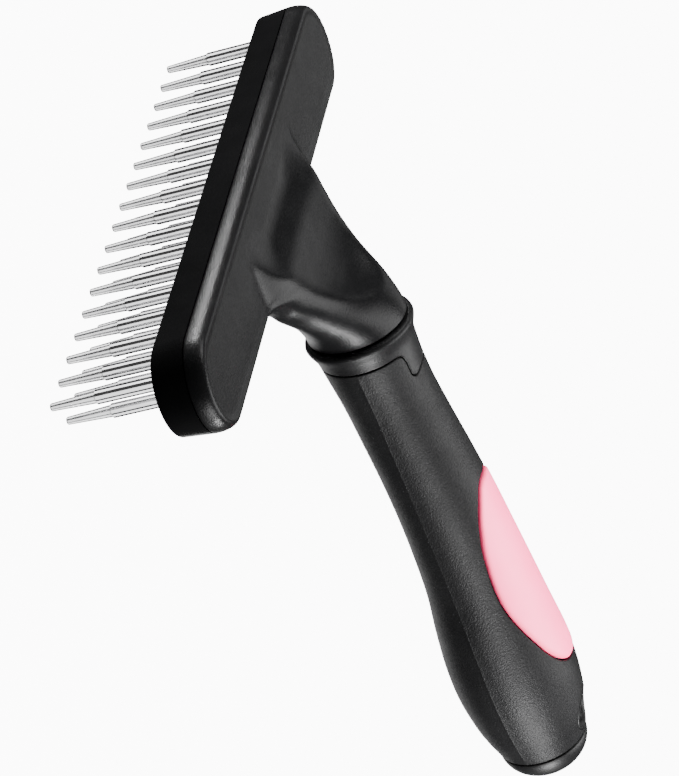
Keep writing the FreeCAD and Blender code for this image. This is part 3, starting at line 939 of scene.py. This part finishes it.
def make_collar():
    # The collar's sheet closes underneath.
    back = tab_line(-SEAM_GAP / 2)
    back_d = back[-1, 1]
    turn = [math.pi * radius_at(d) for d in (COLLAR_START, back_d)]
    behind = np.vstack([seam_round(back_d, -turn[1], back[0, 0])[:-1], back,
                        seam_round(back_d, back[-1, 0], turn[1])[1:]])
    ahead = seam_round(COLLAR_START, -turn[0], turn[0])
    between = np.arange(COLLAR_START, back_d, EDGE_SPACING)[1:]
    side = np.stack([math.pi * radius_at(between), between], 1)
    outline = np.vstack([ahead, side, behind[::-1], (side * [-1, 1])[::-1]])
    rolled = [ahead, behind]
    creases = [seam_round(d, -turn[0] * 0.999, turn[0] * 0.999)
               for d in (COLLAR_START + 1.2, COLLAR_START + 2.2)]

    def bead(flat):
        away = flat[:, 1] - BEAD_MIDDLE
        width = np.where(away < 0, BEAD_FRONT, BEAD_BACK)
        return COLLAR_BEAD * np.exp(-(away / width) ** 2)

    layout = lay_out(outline, [], rolled, creases, EDGE_ROWS, COLLAR_SPACING)
    sheet("collar", layout, rolled, EDGE_ROLL, extra=bead, nodes=["collar_ring"],
          slot="black_plastic", material=collar_plastic)


def make_inlay():
    outline = from_above(mirrored(even_out(INLAY, EDGE_SPACING)))
    rolled = [closed(outline)]
    layout = lay_out(outline, [], rolled, [], INLAY_ROWS, INLAY_SPACING)
    sheet("thumb_pad", layout, rolled, INLAY_ROLL, proud=INLAY_PROUD, nodes=["thumb_inlay"],
          slot="pink_rubber", material=pink_rubber)


def make_end_cap():
    top = CAP_END - CAP_SEAM
    profile = [(0.0, CAP_FACE), (CAP_RADIUS - 1.3, CAP_FACE), (CAP_RADIUS - 0.32, CAP_FACE),
               (CAP_RADIUS - 0.1, 0.2), (CAP_RADIUS - 0.02, 0.42)]
    for t in np.linspace(0.08, 1, 26):
        a = t * math.pi / 2
        radius = CAP_RADIUS * max(math.cos(a), 0) ** CAP_SQUARENESS if t < 1 else 0.0
        profile.append((radius, CAP_FACE + (top - CAP_FACE) * math.sin(a)))
    points, faces = lathe(profile, (0, -CAP_SEAM, CAP_Z), along_handle=True)
    add_piece("cap", points, faces, "black_plastic", ring_plastic, 60, ["end_cap"])


def make_hang_sleeve():
    """A tube through the handle whose rims follow the skin and dip towards the hole."""
    mouth, rim, top = HANG_RADIUS + HANG_MOUTH, HANG_RING_RADIUS, HANG_RING_PROUD
    steps = [(HANG_RADIUS, -2.2), (HANG_RADIUS + 0.05, -1.7), (HANG_RADIUS + 0.2, -1.25),
             (mouth - 0.25, -0.7), (mouth, -0.42), (mouth + 0.25, -0.26), (rim - 0.5, top - 0.13),
             (rim - 0.3, top - 0.03), (rim - 0.16, top), (rim - 0.05, top - 0.05),
             (rim, top - 0.16), (rim, -1.0)]
    angles = np.linspace(0, 2 * math.pi, HANG_SEGMENTS, endpoint=False)
    points = []
    for upper in (True, False):
        for reach, lift in steps if upper else steps[::-1]:
            x = reach * np.cos(angles)
            d = HANG_DISTANCE + reach * np.sin(angles)
            middle, radius = np.moveaxis(handle_at(d), -1, 0)
            height = np.sqrt(radius ** 2 - x ** 2) + lift - (0 if upper else HANG_RING_SUNK)
            z = middle + height if upper else middle - height
            points.extend(np.stack([x, -d, z], 1))
    faces = []
    rows = 2 * len(steps)
    for row in range(rows):
        here, after = row * HANG_SEGMENTS, (row + 1) % rows * HANG_SEGMENTS
        for k in range(HANG_SEGMENTS):
            n = (k + 1) % HANG_SEGMENTS
            faces.append([here + k, after + k, after + n, here + n])
    add_piece("hang_ring", points, faces, "black_plastic", ring_plastic, 60, ["hang_sleeve"])


# ---- teeth ------------------------------------------------------------------------------
def make_teeth():
    corners = [(0.0, TIP_Z), (TIP_END_RADIUS, TIP_Z, 0.7), (TIP_ROOT_RADIUS, STEP_Z - 0.5, 0.3),
               (TIP_ROOT_RADIUS + 0.06, STEP_Z, 0.08), (SHANK_RADIUS, STEP_Z, 0.42),
               (SHANK_RADIUS, SHANK_TOP_Z)]
    outside = soften(corners)[:-1]
    names = [name for name in frame["bodies"] if name.startswith("spinning_tooth")]
    for body in sorted(names):
        node = body.replace("spinning_", "")
        low, high = [Vector(corner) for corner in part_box(node)]
        centre = ((low + high) / 2 - HEAD) / MM
        top = (high.z - HEAD.z) / MM
        wide = (high.x - low.x) / 2 / MM
        flange = [(SHANK_RADIUS, top - FLANGE_HEIGHT), (wide, top - FLANGE_HEIGHT),
                  (wide, top), (0.0, top)]
        points, faces = lathe(outside + flange, (centre.x, centre.y, 0), segments=40)
        add_piece("pin_" + node.replace("tooth_", ""), points, faces, "tooth_steel", tooth_steel,
                  50, [node], body)


make_head_cover()
make_collar()
make_grip()
make_inlay()
make_end_cap()
make_hang_sleeve()
make_teeth()

# CAD solids that stay as they are, with their materials.
carried = {"tooth_housing": housing_plastic, "retainer_plate": inner_plastic,
           "cover_screws": screw_steel, "handle_core_upper": inner_plastic,
           "handle_core_lower": inner_plastic, "core_screws": screw_steel,
           "spigot_screw": screw_steel}
for node, material in carried.items():
    materials = frame["nodes"][node].data.materials
    for k in range(len(materials)):
        materials[k] = material
    if not len(materials):
        materials.append(material)


# ---- floor, light and camera ------------------------------------------------------------
BACKDROP_GLOW = 11.0
FLOOR_HALF = 4
FLOOR_Z = -0.9
DOME_RADIUS = 6
LIGHT_GAIN = 4.0
AMBIENT = 0.065
# The camera stands at this azimuth from the head, and the teeth's lights are spread about it.
VIEW_AZIMUTH = 151.2
CAMERA_LENS = 191.706
CAMERA_PLACE = (-0.67533, 0.44005, 0.29068)
CAMERA_TURN = (34.1127, -67.8875, -67.8110)


def add_stage(name, points, faces):
    """A pale backdrop that only the camera sees, so it leaves the reflections alone."""
    mesh = bpy.data.meshes.new(name)
    mesh.from_pydata(points, [], faces)
    backdrop = bpy.data.objects.new(name, mesh)
    bpy.context.scene.collection.objects.link(backdrop)
    material, tree, shader, place = node_material(name, (0.9, 0.9, 0.9), 0.9)
    shader.inputs["Specular IOR Level"].default_value = 0.0
    shader.inputs["Emission Color"].default_value = (1.0, 1.0, 1.0, 1)
    shader.inputs["Emission Strength"].default_value = BACKDROP_GLOW
    tree.links.new(tint(tree, noise(tree, place, 3.0), (0.89, 0.89, 0.89), (0.91, 0.91, 0.91)),
                   shader.inputs["Base Color"])
    mesh.materials.append(material)
    backdrop.visible_glossy = False
    backdrop.visible_diffuse = False
    backdrop.visible_shadow = False


add_stage("floor", [(x * FLOOR_HALF, y * FLOOR_HALF, FLOOR_Z)
                    for x, y in ((-1, -1), (1, -1), (1, 1), (-1, 1))], [(0, 1, 2, 3)])
dome_points, dome_faces = lathe([(DOME_RADIUS * math.sin(t), -DOME_RADIUS * math.cos(t))
                                 for t in np.linspace(0, math.pi, 17)])
add_stage("dome", dome_points.tolist(), [[int(v) for v in face] for face in dome_faces])


def softbox(name, towards, direction, distance, size, level, up=(0, 0, 1), only=None):
    """A rectangular light seen from a place in a direction, as bright as level, for all
    pieces or only for those in one collection."""
    light = bpy.data.lights.new(name, "AREA")
    light.shape = "RECTANGLE"
    light.size, light.size_y = size
    light.energy = LIGHT_GAIN * level * math.pi * size[0] * size[1]
    lamp = bpy.data.objects.new(name, light)
    away = Vector(direction).normalized()
    side = Vector(up).cross(away).normalized()
    turn = Matrix((side, away.cross(side), away)).transposed()
    place = HEAD + Vector(towards) * MM + away * distance
    lamp.matrix_world = Matrix.Translation(place) @ turn.to_4x4()
    lamp.visible_camera = False
    bpy.context.scene.collection.objects.link(lamp)
    if only:
        lamp.light_linking.receiver_collection = only


def gather(name, wanted):
    """A collection of the pieces a light is meant to reach."""
    group = bpy.data.collections.new(name)
    for piece in list(bpy.context.scene.objects):
        if piece.type == "MESH" and wanted(piece.name):
            group.objects.link(piece)
    return group


steel_pieces = gather("steel_pieces", lambda name: name.startswith("pin_"))
plain_pieces = gather("plain_pieces", lambda name: not name.startswith("pin_"))
pad_pieces = gather("pad_pieces", lambda name: name.startswith("thumb_pad"))
# Place in mm that a light is aimed at, its direction from there, its distance and size in
# metres, its brightness.
softbox("overhead", (0, -70, 12), (0.06, -0.456, 0.887), 1.2, (1.2, 0.8), 1.75, (0, 1, 0))
softbox("pad", (0, -100, 12), (-0.2, -0.3, 0.93), 1.0, (0.9, 0.9), 5.2, (0, 1, 0), pad_pieces)
softbox("left", (0, -118, 12), (-0.87, -0.45, 0.17), 0.45, (0.20, 0.20), 4.5)
softbox("strip", (-62, 10, 2), (0.74, 0.67, -0.09), 0.25, (0.07, 0.035), 20.0)
softbox("behind", (0, -40, 5), (0.6, -0.46, -0.62), 1.3, (1.0, 1.0), 0.4, only=plain_pieces)
softbox("low", (-12, -26, 11), (-0.4, -0.91, 0.04), 0.35, (0.055, 0.055), 32.0)
softbox("rim", (0, -32, 8), (0.27, 0.66, 0.64), 0.8, (0.45, 0.45), 2.2)
softbox("across", (0, -10, 5), (0.83, -0.26, 0.45), 1.5, (0.7, 0.55), 0.27)
for turn, size, level in ((15, 0.8, 0.55), (-78, 0.6, 0.85), (82, 0.6, 0.75)):
    angle = math.radians(VIEW_AZIMUTH + turn)
    direction = (0.95 * math.cos(angle), 0.95 * math.sin(angle), -0.32)
    softbox("steel_%d" % (turn % 360), (0, 0, -15), direction, 1.0, (size, 0.8), level,
            only=steel_pieces)

world = bpy.data.worlds.new("studio")
world.use_nodes = True
world.node_tree.nodes["Background"].inputs["Color"].default_value = (1.0, 1.0, 1.0, 1)
world.node_tree.nodes["Background"].inputs["Strength"].default_value = AMBIENT
bpy.context.scene.world = world

camera_data = bpy.data.cameras.new("camera")
camera_data.lens = CAMERA_LENS
camera_data.sensor_width = 36.0
camera_data.clip_start = 0.01
camera = bpy.data.objects.new("camera", camera_data)
camera.location = CAMERA_PLACE
camera.rotation_euler = [math.radians(a) for a in CAMERA_TURN]
bpy.context.scene.collection.objects.link(camera)
bpy.context.scene.camera = camera
